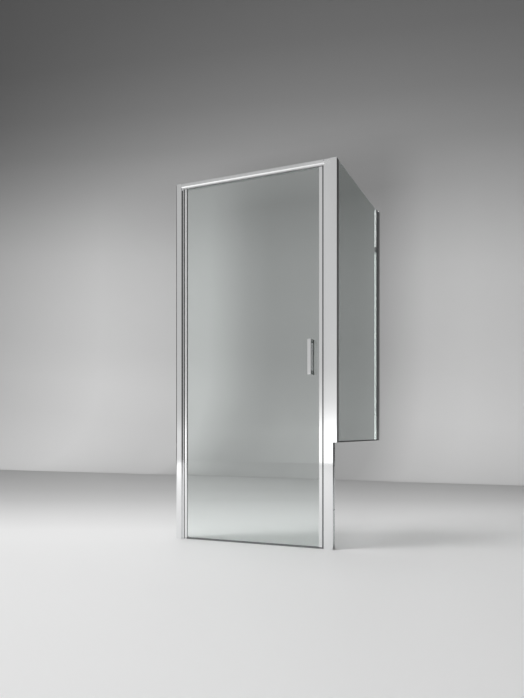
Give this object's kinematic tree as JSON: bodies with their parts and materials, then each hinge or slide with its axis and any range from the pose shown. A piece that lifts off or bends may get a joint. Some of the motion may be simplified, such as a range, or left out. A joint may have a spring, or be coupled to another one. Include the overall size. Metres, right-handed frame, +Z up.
{
  "type": "shower enclosure",
  "caption": "Framed glass shower enclosure: an outward-opening pivot door between two jambs, a slim top rail, a flat pull handle and a shorter fixed side pane.",
  "frame": {"origin": "foot of the wall channel on the hinge side: the corner where the wall's plane, the plane of the frame's front face and the plane of the frame's foot meet", "axes": "+X along the front from the hinge-side wall to the open corner, +Y from the front face into the shower, +Z up"},
  "size_m": [0.9295, 0.9245, 1.95],
  "materials": {
    "profile": "bright polished extrusion",
    "casting": "bright polished casting",
    "handle_metal": "bright polished",
    "clear_glass": "clear toughened glass with pale green edges",
    "clear_seal": "soft clear-grey strip",
    "grey_seal": "soft grey strip",
    "dark_seal": "soft black strip",
    "black_plastic": "matt black",
    "white_plastic": "matt white",
    "grey_plastic": "satin grey",
    "magnet": "dark bonded magnet",
    "fixings": "stainless steel",
    "dark_fixing": "darkened steel"
  },
  "bodies": {
    "frame": {"hinge_wall_profile": "profile", "hinge_wall_cap": "grey_plastic", "hinge_jamb": "profile", "adjuster_screws": "fixings", "hinge_lip_seal": "grey_seal", "top_rail": "profile", "top_stop_seal": "clear_seal", "top_pivot_block": "casting", "top_pivot_bush": "white_plastic", "bottom_pivot_block": "casting", "bottom_pivot_bush": "white_plastic", "pivot_block_screw": "fixings", "threshold": "profile", "strike_jamb": "profile", "strike_magnet_sleeve": "grey_seal", "strike_magnet": "magnet", "strike_corner": "casting", "corner_screw": "dark_fixing", "frame_screws": "fixings", "post_screws": "fixings", "corner_post": "profile", "post_cap": "grey_plastic", "side_glass": "clear_glass", "side_front_gasket": "clear_seal", "side_rear_gasket": "clear_seal", "side_bottom_seal": "dark_seal", "side_adjusting_profile": "profile", "side_wall_profile": "profile", "side_wall_cap": "grey_plastic", "side_adjuster_screws": "fixings"},
    "door": {"door_glass": "clear_glass", "hinge_stile": "profile", "hinge_stile_gasket": "clear_seal", "closing_stile": "profile", "closing_stile_gasket": "clear_seal", "closing_stile_caps": "black_plastic", "door_magnet_sleeve": "grey_seal", "door_magnet": "magnet", "door_bottom_seal": "grey_seal", "top_pivot_pin": "fixings", "bottom_pivot_pin": "fixings", "handle_grip": "handle_metal", "handle_posts": "handle_metal", "handle_base": "handle_metal", "handle_pads": "clear_seal", "handle_glass_bushes": "clear_seal", "handle_inner_plate": "handle_metal", "handle_screws": "fixings"}
  },
  "joints": [
    {"name": "door_swing", "type": "hinge", "parent": "frame", "child": "door", "pos_m": [0.0561, 0.0105, 0.006], "axis": [0, 0, -1], "range_deg": [0, 90]}
  ]
}
